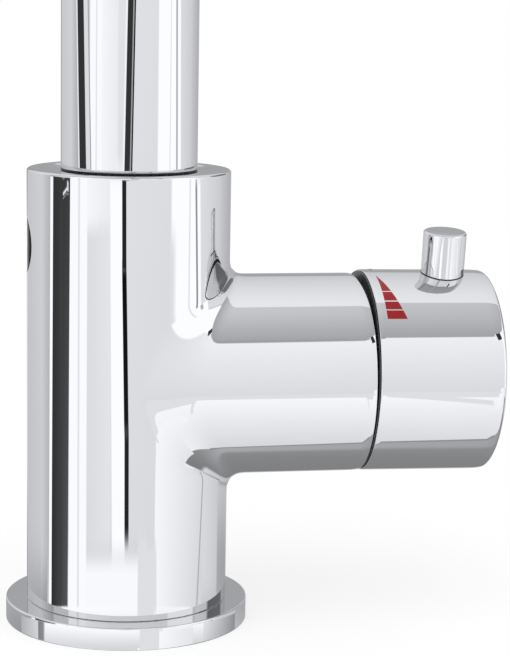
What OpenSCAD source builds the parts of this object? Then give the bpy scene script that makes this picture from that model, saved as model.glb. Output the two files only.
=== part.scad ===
// Touchless pull-down kitchen faucet with a side mixer knob
// The spout's axis is Z, the worktop is z = 0, the spout reaches towards -Y and the knob towards +X

/* [Base and worktop] */
// Radius of the round base plate
base_r = 29; // [28.5:0.5:34]
// Thickness of the base plate
base_h = 5.35; // [4.5:0.05:8]
// Bevel on the base plate's top edge
base_bevel = 0.35; // [0.2:0.05:1]
// Thickness of the rubber ring under the base plate
foot_seal_h = 1.6; // [1:0.1:2.5]
// Thickness of the worktop that is clamped
deck_t = 30; // [15:1:35]
// Radius of the threaded shank
shank_r = 16.5; // [16.2:0.1:17]
// Wall of the threaded shank
shank_wall = 1.7; // [1.4:0.1:1.8]
// Length of the shank below the worktop's top face
shank_len = 60; // [58:1:80]
// Depth that the shank is screwed into the body
shank_grip = 13; // [8:1:20]

/* [Body] */
// Radius of the upright body
body_r = 24; // [23.6:0.2:26]
// Height of the body's top face above the worktop
body_top = 108.6; // [107:0.2:125]
// Rounding round the body's foot
foot_round = 0.3; // [0.2:0.1:4]
// Rounding of the body's top edge
top_round = 0.7; // [0.3:0.1:1.5]
// Height of the hollow under the body for the supply hoses
hollow_h = 32; // [30:0.5:33]
// Radius of the way through the body for the spray hose
passage_r = 6.5; // [6:0.1:6.6]

/* [Side branch] */
// Height of the branch's axis
branch_z = 59.15; // [58.5:0.05:61]
// Radius of the branch, a little under the body's
branch_r = 23.9; // [23.5:0.1:23.9]
// Distance from the body's axis to the branch's end
branch_end = 55.65; // [55:0.05:62]
// Rounding of the branch's end
branch_edge = 0.3; // [0.2:0.1:1.5]
// Rolling-ball radius of the fillet between body and branch
fillet_r = 3.6; // [2:0.2:6]

/* [Mixer] */
// Droop of the mixer's axis towards the knob, in degrees
mixer_droop = 0.65; // [0:0.05:2]
// Height of the mixer's axis above the branch's at the branch's end
mixer_rise = 0.45; // [0:0.05:0.8]
// Radius of the cartridge's housing
cart_r = 17.5; // [17:0.1:17.5]
// Depth of the cartridge chamber
chamber_d = 41.15; // [40:0.05:42]
// Radius of the sliding and turning spool
spool_r = 9; // [7.5:0.1:9]
// Radius of the spool's stem
stem_r = 5; // [4:0.1:5.5]
// Angle that the knob turns each way
turn_range = 45; // [20:5:60]
// Distance that the knob pulls out
pull_range = 6; // [3:0.5:6]

/* [Knob] */
// Radius of the knob
knob_r = 24.4; // [24:0.1:25.5]
// Length of the knob
knob_len = 30.55; // [29:0.05:36]
// Gap between the branch and the knob
knob_gap = 0.7; // [0.6:0.05:1.2]
// Rounding of the knob's outer edge
knob_edge = 1.1; // [0.6:0.1:4]
// Rounding of the knob's edge at the gap
knob_lip = 0.2; // [0.1:0.1:1.2]
// Radius of the lever pin
pin_r = 5.2; // [4:0.1:6]
// Height of the lever pin's top above the knob's axis
pin_top = 34.7; // [31:0.1:50]
// Distance of the lever pin from the branch's end
pin_x = 20.05; // [18:0.05:21]
// Angle of the lever pin forward of upright
pin_lean = 7; // [0:1:15]
// Length of the colour mark round the knob, in degrees
mark_span = 37.3; // [20:0.1:50]
// Width of the colour mark at its wide end
mark_w = 4.8; // [2:0.1:7]
// Depth of the colour mark's inlay
mark_d = 0.3; // [0.2:0.05:0.6]

/* [Sensor] */
// Height of the sensor's window
sensor_z = 90.65; // [90:0.05:94]
// Turn of the sensor towards the back, in degrees
sensor_turn = 5.3; // [0:0.1:8]
// Radius of the sensor's window
lens_r = 6.4; // [5:0.05:7]
// Distance of the window's face inside the body's outline
lens_inset = 0.4; // [0.2:0.05:0.8]

/* [Spout] */
// Overall height of the faucet above the worktop
spout_h = 425; // [380:1:480]
// Radius of the spout's tube
spout_r = 16.05; // [16.05:0.05:17]
// Wall of the spout's tube
spout_wall = 1.45; // [1.2:0.05:1.5]
// Radius of the arch's centre line
arch_r = 98; // [80:1:120]
// Straight length of the spout below the arch
drop_len = 36; // [34:1:60]
// Radius of the swivel bore in the body
bore_r = 15; // [14.8:0.05:15]
// Depth of the swivel bore
bore_d = 28.6; // [28.6:0.1:30]
// Angle that the spout swivels each way
swivel_range = 60; // [20:5:70]
// Radius of the spray hose
hose_r = 5.5; // [5:0.1:5.6]

/* [Spray head] */
// Length of the spray head
head_len = 88; // [84:1:110]
// Radius of the spray head near its face
head_r = 17.8; // [17:0.1:20]
// Distance from the head's top to the middle of its rocker
rocker_drop = 38; // [36:1:42]
// Half the width of the rocker
rocker_w = 5.2; // [4:0.1:5.3]
// Half the height of the rocker
rocker_h = 16; // [12:0.5:17]
// Angle that the rocker tips each way
rocker_tilt = 3.5; // [1:0.5:3.5]
// Number of jets in the inner ring
jets_inner = 12; // [6:1:14]
// Number of jets in the outer ring
jets_outer = 18; // [8:1:22]

/* [Hidden] */
$fn = 96;
eps = 0.01;
// Clearance of threads and of pieces pushed together
snug = 0.05;
// Clearance of a face that slides or turns past another
slide = 0.1;

// Clamp under the worktop
washer_r = base_r - 2;
rubber_h = 3;
steel_h = 2;
nut_h = 10;
nut_drop = 6;
nut_r = 22.5;
nut_z = -deck_t - rubber_h - steel_h - nut_drop - nut_h;
clamp_screw_r = 2.5;
clamp_screw_len = 24;
clamp_head_r = 4;
clamp_head_h = 4;
clamp_screw_x = shank_r + clamp_head_r + 0.3;
seal_in = 19;
seal_out = base_r - 2.6;
shank_in = shank_r - shank_wall;

// Water ways in the body
socket_r = 3.5;
socket_len = 8;
port_r = 2.4;
socket_out = shank_in - socket_r - 0.2;
inlet_a = 65;
inlet_x = socket_out * cos(inlet_a);
inlet_y = socket_out * sin(inlet_a);
inlet_drop = 7.6;
outlet_drop = 13.6;
mixer_z = branch_z + mixer_rise;
chamber_z = mixer_z + chamber_d * sin(mixer_droop);
cable_r = 1.6;
cable_x = bore_r + cable_r + 0.7;

// Swivel joint between body and spout
glide_h = 0.12;
bore_z = body_top - bore_d;
tube_z = body_top + glide_h + snug;
spigot_r = bore_r - 2;
spigot_in = 10;
bush_low_h = 4;
bush_top_h = 5.8;
ring_r = 1.45;
ring_groove = 3.2;
ring_z = [body_top - 13.2, body_top - 8.8];
stop_z = body_top - 19.6;
stop_tip = 1.8;
stop_groove_h = 5.2;
stop_floor = spigot_r - 2;
stop_screw_r = 2.5;
stop_half = swivel_range + asin((stop_tip + 0.3) / spigot_r);
plug_h = 12;

// Spout path
tube_in = spout_r - spout_wall;
arch_z = spout_h - arch_r - spout_r;
drop_y = -2 * arch_r;
drop_z = arch_z - drop_len;
hose_low = -(shank_len + 14);
hose_in = hose_r - 1.8;
coupling_h = 16;

// Sensor pocket
pocket_r = lens_r + 0.3;
lens_h = 1.4;
lens_x = body_r - lens_inset;
case_r = lens_r - 0.15;
case_back = bore_r + 1.4;
board_h = 1.2;
board_z = case_back + 1.6;

// Mixer, measured along its axis from the branch's end, outwards positive
port_spots = [[inlet_drop, inlet_y], [inlet_drop, -inlet_y], [outlet_drop, 0]];
port_depth = [10, 10, 16];
port_seal_h = 0.8;
chamber_r = 18.7;
flange_r = 18.4;
flange_z = -16;
nose_z = -12.5;
nose_end = -2.5;
nose_r = 14;
guide_r = 11.5;
guide_z = -13;
lug_r = 13.2;
lug_h = 3.5;
lug_half = 12;
nut_out = 19.5;
nut_mouth = -3;
sleeve_r = 21.2;
sleeve_in = 19.7;
sleeve_back = -6;
sleeve_front = 1.9 + pull_range;
rim_z = (branch_r + mixer_rise) * sin(mixer_droop) + snug;
rim_r = knob_r - 0.35;
clip_h = 0.8;
spool_z = -37;
spool_len = 17;
spool_ring = 1.1;
spool_groove = 2.4;
spool_groove_z = [2.4, 13.6];
stem_flat = 3.8;
knob_face = knob_gap + knob_len;
skirt_in = sleeve_r + 0.5;
skirt_d = sleeve_front + 0.8;
stem_end = knob_face - 6;
grub_r = 2;
mark_first = 6.5;
mark_in = 2.25;
mark_gap = 0.9;
mark_cuts = [0, 0.46, 0.67, 0.84, 1];

// Spray head
head_top = drop_z - 0.4;
collar_h = 2.6;
collar_r = spout_r - 0.5;
head_low = drop_z - head_len;
shell_in = 14.4;
shell_top = head_top - collar_h;
face_r = head_r - 1.9;
face_z = head_low + 0.7;
face_h = 3;
mat_h = 1;
core_r = shell_in - 0.4;
core_z = face_z + face_h + mat_h;
neck_r = 9.9;
neck_h = 15;
nipple_r = 6.8;
nipple_h = 8.6;
hose_nut_h = 13;
reach_z = drop_z + neck_h + 0.1 + hose_nut_h;
liner_in = neck_r + 0.4;
liner_h = 13.5;
magnet_h = 3.6;
aerator_r = 7.5;
jet_r = 0.9;
rocker_z = drop_z - rocker_drop;
rocker_pivot = 11.4;
rocker_back = 10;
rocker_proud = 0.7;
window_gap = 0.75;
axle_r = 1.2;
axle_half = rocker_w + 1.7;

// Half profile of a turned cylinder with rounded edges
module turned_half(r, h, low, high) {
    square([r - max(low, high), h]);
    translate([0, low]) square([r, h - low - high]);
    if (low > 0) intersection() {
        translate([r - low, low]) circle(low);
        translate([r - low, 0]) square([low, h]);
    }
    if (high > 0) intersection() {
        translate([r - high, h - high]) circle(high);
        translate([r - high, 0]) square([high, h]);
    }
    if (low < high) square([r - low, h / 2]);
    if (high < low) translate([0, h / 2]) square([r - high, h / 2]);
}

module turned(r, h, low = 0, high = 0) rotate_extrude() turned_half(r, h, low, high);

module ring(r_out, r_in, h) {
    difference() {
        cylinder(r = r_out, h = h);
        translate([0, 0, -1]) cylinder(r = r_in, h = h + 2);
    }
}

// Frame of the mixer: Z runs outwards along the knob's axis, -X is up and -Y is the front
module at_mixer() translate([branch_end, 0, mixer_z]) rotate([0, 90 + mixer_droop, 0]) children();

// Frame of the sensor: Z runs outwards through the window, from the body's axis
module at_sensor() rotate([0, 0, -sensor_turn]) translate([0, 0, sensor_z]) rotate([0, -90, 0]) children();

// Axis of the sensor's cable, upwards from a height
module at_cable(height) rotate([0, 0, -sensor_turn]) translate([-cable_x, 0, height]) children();

// Frame of the lever pin in the mixer's frame: X runs along the pin
module at_pin() rotate([0, 0, 180 + pin_lean]) children();

module base_plate() color("gainsboro") rotate_extrude() difference() {
    polygon([[shank_r + 0.5, 0], [base_r, 0], [base_r, base_h - base_bevel],
        [base_r - base_bevel, base_h], [shank_r + 0.5, base_h]]);
    translate([seal_in, -eps]) square([seal_out - seal_in, foot_seal_h + eps]);
}

module base_seal() color("black") ring(seal_out - 0.02, seal_in + 0.02, foot_seal_h);

// Rolling-ball fillet over the crease on one side of the branch, its feet sunk in the metal
function ball_centre(a) = let (y = (branch_r + fillet_r) * sin(a))
    [sqrt(pow(body_r + fillet_r, 2) - y * y), y, (branch_r + fillet_r) * cos(a)];
function to_body(c) = -[c[0], c[1], 0] / norm([c[0], c[1]]);
function to_branch(c) = -[0, c[1], c[2]] / norm([c[1], c[2]]);
function between(c, t) = let (v = to_body(c) * (1 - t) + to_branch(c) * t) v / norm(v);
function fillet_ring(a, sunk) = let (c = ball_centre(a), f = fillet_r)
    [c + to_body(c) * (f + 1.2), for (t = [0:5])
        c + between(c, t / 5) * (f + (t == 0 || t == 5 ? sunk : 0)), c + to_branch(c) * (f + 1.2)];

module branch_fillet(spread = 74, steps = 18) {
    rings = [for (i = [0:steps]) fillet_ring(spread * (2 * i / steps - 1), 0.06)];
    n = len(rings[0]);
    polyhedron(points = [for (r = rings) each r], faces = concat(
        [[for (j = [0:n - 1]) j], [for (j = [n - 1:-1:0]) steps * n + j]],
        [for (i = [0:steps - 1], j = [0:n - 1]) let (k = (j + 1) % n)
            each [[i * n + j, (i + 1) * n + j, (i + 1) * n + k], [i * n + j, (i + 1) * n + k, i * n + k]]]));
}

module body_outside() {
    translate([0, 0, base_h]) turned(body_r, body_top - base_h, foot_round, top_round);
    translate([0, 0, branch_z]) {
        rotate([0, 90, 0]) turned(branch_r, branch_end, 0, branch_edge);
        branch_fillet();
        mirror([0, 0, 1]) branch_fillet();
    }
}

// Bore from a hose socket up beside the shank and across to the cartridge chamber
module water_way(x, y, up) translate([x, y, 0]) {
    translate([0, 0, hollow_h - 1]) cylinder(r = socket_r, h = socket_len + 1);
    translate([0, 0, hollow_h]) cylinder(r = port_r, h = up - hollow_h + port_r + 0.5);
    translate([0, 0, up]) rotate([0, 90, 0]) cylinder(r = port_r, h = branch_end - chamber_d - x + 1);
}

module body() color("gainsboro") difference() {
    body_outside();
    translate([0, 0, base_h - 1]) cylinder(r = shank_r + snug, h = hollow_h - base_h + 1);
    cylinder(r = passage_r, h = body_top);
    translate([0, 0, bore_z]) cylinder(r = bore_r, h = bore_d + 1);
    at_cable(hollow_h - 4) cylinder(r = cable_r, h = sensor_z - hollow_h + 4);
    for (s = [-1, 1]) water_way(inlet_x, s * inlet_y, chamber_z - inlet_drop);
    water_way(socket_out, 0, chamber_z - outlet_drop);
    at_mixer() {
        translate([0, 0, -chamber_d]) cylinder(r = chamber_r, h = chamber_d + 1);
        translate([0, 0, nose_z]) cylinder(r = nut_out + snug, h = 20);
        translate([0, 0, sleeve_back]) cylinder(r = sleeve_r + snug, h = 20);
    }
    at_sensor() {
        translate([0, 0, case_back]) cylinder(r = case_r + snug, h = body_r);
        translate([0, 0, lens_x - lens_h]) cylinder(r = pocket_r, h = body_r);
    }
    translate([0, 0, stop_z]) rotate([-90, 0, 0]) cylinder(r = stop_screw_r, h = body_r + 1);
}

module shank() color("goldenrod") difference() {
    translate([0, 0, -shank_len]) turned(shank_r, shank_len + base_h + shank_grip, 1, 0.6);
    translate([0, 0, -shank_len - 1]) cylinder(r = shank_in, h = shank_len + base_h + shank_grip + 2);
}

module deck_seal() color("black") translate([0, 0, -deck_t - rubber_h])
    ring(washer_r, shank_r + 0.3, rubber_h);

module clamp_washer() color("silver")
    translate([0, 0, -deck_t - rubber_h - steel_h]) ring(washer_r - 1, shank_r + 0.3, steel_h);

module clamp_nut() color("goldenrod") difference() {
    translate([0, 0, nut_z]) union() {
        cylinder(r = nut_r, h = nut_h);
        for (s = [-1, 1]) translate([s * clamp_screw_x, 0, 0]) cylinder(r = clamp_screw_r + 3.2, h = nut_h);
    }
    translate([0, 0, nut_z - 1]) cylinder(r = shank_r + snug, h = nut_h + 2);
    for (s = [-1, 1]) translate([s * clamp_screw_x, 0, nut_z - 1])
        cylinder(r = clamp_screw_r + snug, h = nut_h + 2);
    for (a = [45:90:315]) rotate([0, 0, a]) translate([nut_r - 1.5, -3, nut_z - 1]) cube([4, 6, nut_h + 2]);
}

module clamp_screws() color("silver") for (s = [-1, 1])
    translate([s * clamp_screw_x, 0, -deck_t - rubber_h - steel_h - clamp_screw_len]) difference() {
        union() {
            cylinder(r = clamp_screw_r, h = clamp_screw_len);
            translate([0, 0, -clamp_head_h]) turned(clamp_head_r, clamp_head_h, 0.6, 0);
        }
        for (a = [0, 90]) rotate([0, 0, a]) translate([-0.6, -5, -clamp_head_h - 1]) cube([1.2, 10, 2.5]);
    }

module glide_ring() color("black") translate([0, 0, body_top]) ring(spout_r - 0.15, spigot_r + snug, glide_h);

module swivel_bushes() color("whitesmoke") {
    translate([0, 0, bore_z]) ring(bore_r - snug, spigot_r + snug, bush_low_h);
    translate([0, 0, body_top - bush_top_h]) ring(bore_r - snug, spigot_r + snug, bush_top_h);
}

module swivel_screw() color("silver") translate([0, 0, stop_z]) rotate([-90, 0, 0]) difference() {
    union() {
        translate([0, 0, bore_r + 0.6]) cylinder(r = stop_screw_r - snug, h = body_r - bore_r - 2.2);
        translate([0, 0, stop_floor + 0.3]) cylinder(r = stop_tip, h = bore_r + 0.7 - stop_floor);
    }
    translate([0, 0, body_r - 4.2]) cylinder(r = 1.4, h = 4, $fn = 6);
}

module sensor_window() color("black") at_sensor() translate([0, 0, lens_x - lens_h])
    turned(lens_r, lens_h, 0, 0.25);

module sensor_seal() color("dimgray") at_sensor() translate([0, 0, lens_x - lens_h])
    ring(pocket_r - 0.02, lens_r + 0.02, lens_h - 0.2);

module sensor_case() color("dimgray") at_sensor() difference() {
    translate([0, 0, case_back]) cylinder(r = case_r, h = lens_x - lens_h - case_back);
    translate([0, 0, case_back + 1]) cylinder(r = case_r - 0.8, h = body_r);
    rotate([0, 90, 0]) translate([-cable_x, 0, 0]) cylinder(r = cable_r, h = 20, center = true);
}

module sensor_board() color("green") at_sensor() translate([0, 0, board_z])
    cylinder(r = case_r - 0.85, h = board_h);

module sensor_eyes() color("midnightblue") at_sensor() for (s = [-1, 1])
    translate([s * 2.7, 0, board_z + board_h]) turned(1.5, lens_x - lens_h - board_z - board_h - 0.3, 0, 0.6);

module cable_grommet() color("black") at_cable(hollow_h + 1) difference() {
    cylinder(r = cable_r - 0.02, h = 6);
    translate([0, 0, -1]) cylinder(r = 0.9, h = 8);
}

// Bore from a port in the housing's back, then across to the spool
module cartridge_port(spot, depth) {
    translate([spot[0], spot[1], -chamber_d]) cylinder(r = port_r, h = depth + port_r);
    rotate([0, 0, atan2(spot[1], spot[0])]) translate([0, 0, depth - chamber_d]) rotate([0, 90, 0])
        cylinder(r = port_r - 0.4, h = norm(spot));
}

module cartridge_housing() color("whitesmoke") at_mixer() difference() {
    union() {
        translate([0, 0, port_seal_h - chamber_d])
            cylinder(r = cart_r, h = chamber_d - port_seal_h + flange_z + 1);
        translate([0, 0, flange_z]) cylinder(r = flange_r, h = nose_z - flange_z);
        translate([0, 0, nose_z - 1]) cylinder(r = nose_r, h = nose_end - nose_z + 1);
    }
    translate([0, 0, spool_z - 0.5]) cylinder(r = spool_r + snug, h = 60);
    translate([0, 0, guide_z]) cylinder(r = guide_r + snug, h = 60);
    translate([0, 0, nose_end - lug_h - slide]) rotate([0, 0, 180 - turn_range - lug_half - 0.5])
        rotate_extrude(angle = 2 * (turn_range + lug_half + 0.5)) translate([spool_r, 0])
            square([lug_r + slide - spool_r, lug_h + 2]);
    for (i = [0:2]) cartridge_port(port_spots[i], port_depth[i]);
}

module port_seals() color("black") at_mixer() for (spot = port_spots)
    translate([spot[0], spot[1], -chamber_d]) ring(port_r + 0.9, port_r, port_seal_h);

module cartridge_nut() color("goldenrod") at_mixer() difference() {
    translate([0, 0, nose_z]) cylinder(r = nut_out, h = nut_mouth - nose_z);
    translate([0, 0, nose_z - 1]) cylinder(r = nose_r + slide, h = 20);
    for (a = [0:60:300]) rotate([0, 0, a]) translate([nut_out - 2.6, -1.5, nut_mouth - 2.5]) cube([4, 3, 3]);
}

module guide_clip() color("silver") at_mixer() translate([0, 0, nose_end]) difference() {
    ring(nose_r - 0.3, stem_r + 3.4, clip_h);
    translate([0, -2, -1]) cube([nose_r + 1, 4, 3]);
}

module gap_sleeve() color("black") at_mixer() {
    translate([0, 0, sleeve_back]) ring(sleeve_r, sleeve_in, sleeve_front - sleeve_back);
    translate([0, 0, rim_z]) ring(rim_r, sleeve_in, knob_gap - 0.1 - rim_z);
}

// Round stem with two flats that key it to the turning guide
module stem_section(play) intersection() {
    circle(stem_r + play);
    square([2 * (stem_flat + play), 4 * stem_r], center = true);
}

module turn_guide() color("dimgray") at_mixer() difference() {
    union() {
        translate([0, 0, guide_z + slide]) cylinder(r = guide_r, h = nose_end - guide_z - 2 * slide);
        translate([0, 0, nose_end - lug_h]) rotate([0, 0, 180 - lug_half])
            rotate_extrude(angle = 2 * lug_half) translate([spool_r, 0])
                square([lug_r - spool_r, lug_h - slide]);
    }
    translate([0, 0, guide_z - 1]) linear_extrude(20) stem_section(snug);
}

module spool() color("goldenrod") at_mixer() difference() {
    union() {
        translate([0, 0, spool_z]) cylinder(r = spool_r, h = spool_len);
        translate([0, 0, spool_z + spool_len - 1])
            linear_extrude(stem_end - spool_z - spool_len + 1) stem_section(0);
    }
    for (z = spool_groove_z)
        translate([0, 0, spool_z + z]) ring(spool_r + 1, spool_r - 2 * spool_ring, spool_groove);
    translate([0, 0, spool_z - 1]) cylinder(r = 4.2, h = 12);
    for (a = [0:90:270]) rotate([0, 0, a]) translate([0, 0, spool_z + spool_len / 2]) rotate([0, 90, 0])
        cylinder(r = 1.8, h = spool_r + 1);
}

module spool_seals() color("black") at_mixer() for (z = spool_groove_z)
    translate([0, 0, spool_z + z + spool_groove / 2]) rotate_extrude()
        translate([spool_r - spool_ring + 0.02, 0]) circle(spool_ring - 0.02);

// One colour mark, a wedge that widens round the knob away from the lever pin, cut into bars
module wedge_mark(play = 0) {
    middle = mark_first + mark_span / 2;
    intersection() {
        translate([0, 0, knob_gap + mark_in - 1]) ring(knob_r + play, knob_r - mark_d, mark_w + 2);
        for (i = [0:len(mark_cuts) - 2]) {
            a = mark_first + mark_cuts[i] * mark_span + (i > 0 ? mark_gap / 2 : 0);
            b = mark_first + mark_cuts[i + 1] * mark_span - (i < len(mark_cuts) - 2 ? mark_gap / 2 : 0);
            wa = mark_w * max(0.04, (a - mark_first) / mark_span);
            wb = mark_w * (b - mark_first) / mark_span;
            ya = knob_r * sin(a - middle);
            yb = knob_r * sin(b - middle);
            rotate([0, 0, middle]) translate([knob_r / 2, 0, knob_gap + mark_in]) rotate([90, 0, 90])
                linear_extrude(knob_r) polygon([[ya, 0], [yb, 0], [yb, wb], [ya, wa]]);
        }
    }
}

module knob() color("gainsboro") at_mixer() difference() {
    translate([0, 0, knob_gap]) turned(knob_r, knob_len, knob_lip, knob_edge);
    translate([0, 0, knob_gap - 1]) cylinder(r = skirt_in, h = skirt_d - knob_gap + 1);
    linear_extrude(stem_end + 0.2) stem_section(snug);
    at_pin() {
        translate([knob_r - 6, 0, pin_x]) rotate([0, 90, 0]) cylinder(r = pin_r - 1.2, h = 10);
        wedge_mark(1);
        mirror([0, 1, 0]) wedge_mark(1);
    }
    translate([0, 0, pin_x]) rotate([0, 90, 0]) cylinder(r = grub_r, h = knob_r + 1);
}

module lever_pin() color("gainsboro") at_mixer() at_pin() translate([0, 0, pin_x]) rotate([0, 90, 0]) {
    difference() {
        turned(pin_r, pin_top, 0, 0.5);
        rotate([0, -90, 0]) translate([0, 0, -pin_x]) cylinder(r = knob_r + 0.02, h = 2 * knob_len);
    }
    translate([0, 0, knob_r - 6]) cylinder(r = pin_r - 1.2 - 0.02, h = 7);
}

module knob_screw() color("silver") at_mixer() translate([0, 0, pin_x]) rotate([0, 90, 0]) difference() {
    translate([0, 0, stem_flat]) cylinder(r = grub_r - 0.02, h = knob_r - stem_flat - 3);
    translate([0, 0, knob_r - 5]) cylinder(r = 1.1, h = 3, $fn = 6);
}

module hot_mark() color("crimson") at_mixer() at_pin() wedge_mark();

module cold_mark() color("royalblue") at_mixer() at_pin() mirror([0, 1, 0]) wedge_mark();

// Tube that follows the spout's path: up the riser, over the arch and down
module along_spout(r_out, r_in, low, drop) {
    translate([0, 0, low]) linear_extrude(arch_z - low) tube_section(r_out, r_in);
    translate([0, -arch_r, arch_z]) rotate([90, 0, 90]) rotate_extrude(angle = 180)
        translate([arch_r, 0]) tube_section(r_out, r_in);
    if (drop > 0) translate([0, drop_y, arch_z - drop]) linear_extrude(drop) tube_section(r_out, r_in);
}

module tube_section(r_out, r_in) difference() {
    circle(r_out);
    circle(r_in);
}

module spout_tube() color("gainsboro") along_spout(spout_r, tube_in, tube_z, drop_len);

module spout_foot() color("goldenrod") difference() {
    union() {
        translate([0, 0, bore_z + 0.5]) cylinder(r = spigot_r, h = tube_z - bore_z);
        translate([0, 0, tube_z]) cylinder(r = tube_in, h = plug_h);
    }
    translate([0, 0, bore_z - 1]) cylinder(r = spigot_in, h = bore_d + plug_h + 5);
    for (z = ring_z) translate([0, 0, z - ring_groove / 2])
        ring(spigot_r + 1, bore_r - 2 * (ring_r + snug), ring_groove);
    translate([0, 0, stop_z - stop_groove_h / 2]) rotate([0, 0, 90 - stop_half])
        rotate_extrude(angle = 2 * stop_half) translate([stop_floor, 0]) square([4, stop_groove_h]);
}

module spout_seals() color("black") for (z = ring_z)
    translate([0, 0, z]) rotate_extrude() translate([bore_r - snug - ring_r, 0]) circle(ring_r);

module at_drop() translate([0, drop_y, drop_z]) children();

module dock_liner() color("dimgray") at_drop() translate([0, 0, 0.4]) difference() {
    cylinder(r = tube_in, h = liner_h);
    translate([0, 0, -1]) cylinder(r = liner_in, h = liner_h + 2);
    translate([0, 0, -1]) cylinder(r = tube_in - 0.8, h = magnet_h + 1);
}

module dock_magnet() color("dimgray") at_drop() translate([0, 0, 0.4])
    ring(tube_in - 0.82, liner_in, magnet_h);

module hose() color("dimgray") along_spout(hose_r, hose_in, hose_low, 0);

module hose_coupling() color("silver") translate([0, 0, hose_low - coupling_h]) difference() {
    union() {
        cylinder(r = 4.6, h = coupling_h);
        translate([0, 0, 6]) turned(7, 7, 0.8, 0.8);
    }
    translate([0, 0, -1]) cylinder(r = hose_in, h = coupling_h + 2);
    translate([0, 0, 2.4]) ring(6, 3.9, 1.6);
}

module spray_collar() color("black") at_drop() translate([0, 0, -0.4 - collar_h]) difference() {
    turned(collar_r, collar_h, 0, 0.3);
    translate([0, 0, -1]) cylinder(r = liner_in, h = collar_h + 2);
    translate([0, 0, 0.6]) cylinder(r = tube_in - 0.8, h = collar_h);
}

module catch_ring() color("silver") at_drop() translate([0, 0, -collar_h + 0.2])
    ring(tube_in - 0.82, liner_in, collar_h - 0.7);

// Outer radius of the spray head, easing from the spout's radius to the face's
function head_at(t) = spout_r + (head_r - spout_r) * (1 - cos(180 * min(1, max(0, (t - 0.08) / 0.78)))) / 2;

module head_half(grow = 0) {
    h = shell_top - head_low;
    polygon(concat([[0, h]], [for (i = [0:20]) [head_at(i / 20) + grow, h * (1 - i / 20)]], [[0, 0]]));
}

module stadium(w, h, depth) rotate([90, 0, 0]) {
    for (s = [-1, 1]) translate([0, s * (h - w), 0]) cylinder(r = w, h = depth);
    translate([-w, w - h, 0]) cube([2 * w, 2 * (h - w), depth]);
}

module spray_shell() color("gainsboro") difference() {
    translate([0, drop_y, head_low]) rotate_extrude() intersection() {
        head_half();
        turned_half(head_r, shell_top - head_low, 1.2, 0);
    }
    translate([0, drop_y, head_low - 1]) cylinder(r = face_r + snug, h = core_z - head_low + 1);
    translate([0, drop_y, head_low]) cylinder(r = shell_in, h = head_len);
    translate([0, drop_y - shell_in + 4, rocker_z]) stadium(rocker_w + window_gap, rocker_h + window_gap, 14);
}

module spray_core() color("dimgray") difference() {
    union() {
        translate([0, drop_y, core_z]) cylinder(r = core_r, h = shell_top - core_z);
        translate([0, drop_y, shell_top - 1]) cylinder(r = neck_r, h = drop_z - shell_top + neck_h + 1);
        translate([0, drop_y, drop_z + neck_h - 1]) cylinder(r = nipple_r, h = nipple_h);
    }
    translate([0, drop_y, face_z + 16]) cylinder(r = 3.6, h = head_len + 40);
    translate([0, drop_y, core_z - 1]) cylinder(r = aerator_r - 1.6, h = 13);
    translate([-rocker_w - window_gap, drop_y - core_r - 1, rocker_z - rocker_h - 2])
        cube([2 * (rocker_w + window_gap), core_r + 1 - rocker_back + 1.6, 2 * (rocker_h + 2)]);
    at_axle() cylinder(r = axle_r + 0.02, h = 2 * axle_half, center = true);
}

module face_plate() color("darkgray") difference() {
    translate([0, drop_y, face_z]) cylinder(r = face_r, h = face_h);
    translate([0, drop_y, face_z - 1]) cylinder(r = aerator_r + snug, h = face_h + 2);
    at_jets() translate([0, 0, -1]) cylinder(r = jet_r + 0.35, h = face_h + 2);
}

module jet_circle(count, r) for (i = [0:count - 1]) rotate([0, 0, i * 360 / count]) translate([r, 0, 0])
    children();

module at_jets() translate([0, drop_y, face_z]) {
    jet_circle(jets_inner, 10.1) children();
    jet_circle(jets_outer, 13.2) children();
}

module jet_mat() color("dimgray") difference() {
    union() {
        translate([0, drop_y, face_z + face_h]) cylinder(r = face_r - 0.4, h = mat_h);
        at_jets() translate([0, 0, -0.6]) cylinder(r1 = jet_r, r2 = jet_r + 0.3, h = face_h + 0.7);
    }
    translate([0, drop_y, face_z]) cylinder(r = aerator_r + 0.3, h = 6);
    at_jets() translate([0, 0, -1]) cylinder(r = 0.4, h = face_h + mat_h + 3);
}

module aerator() color("silver") translate([0, drop_y, face_z]) {
    difference() {
        cylinder(r = aerator_r, h = face_h + mat_h);
        translate([0, 0, -1]) cylinder(r = aerator_r - 1.3, h = face_h + mat_h + 2);
    }
    translate([0, 0, 0.8]) linear_extrude(0.5) intersection() {
        circle(aerator_r - 1);
        union() for (i = [-3:3]) {
            translate([i * 1.7, 0]) square([0.45, 20], center = true);
            translate([0, i * 1.7]) square([20, 0.45], center = true);
        }
    }
}

module hose_nut() color("silver") at_drop() translate([0, 0, neck_h + 0.1]) difference() {
    union() {
        cylinder(r = 9, h = 9, $fn = 6);
        translate([0, 0, 8]) cylinder(r = hose_r + 0.9, h = hose_nut_h - 8);
    }
    translate([0, 0, -1]) cylinder(r = nipple_r + snug, h = nipple_h);
    translate([0, 0, -1]) cylinder(r = hose_in, h = 20);
}

module hose_reach() color("dimgray") translate([0, drop_y, reach_z])
    linear_extrude(arch_z - reach_z) tube_section(hose_r, hose_in);

module at_axle() translate([0, drop_y - rocker_pivot, rocker_z]) rotate([0, 90, 0]) children();

module rocker_axle() color("silver") at_axle() cylinder(r = axle_r, h = 2 * axle_half - 0.1, center = true);

module rocker() color("gainsboro") difference() {
    intersection() {
        translate([0, drop_y, head_low]) rotate_extrude() head_half(rocker_proud);
        translate([0, drop_y - rocker_back, rocker_z]) stadium(rocker_w, rocker_h, 14);
    }
    at_axle() cylinder(r = axle_r + snug, h = 30, center = true);
}

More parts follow.
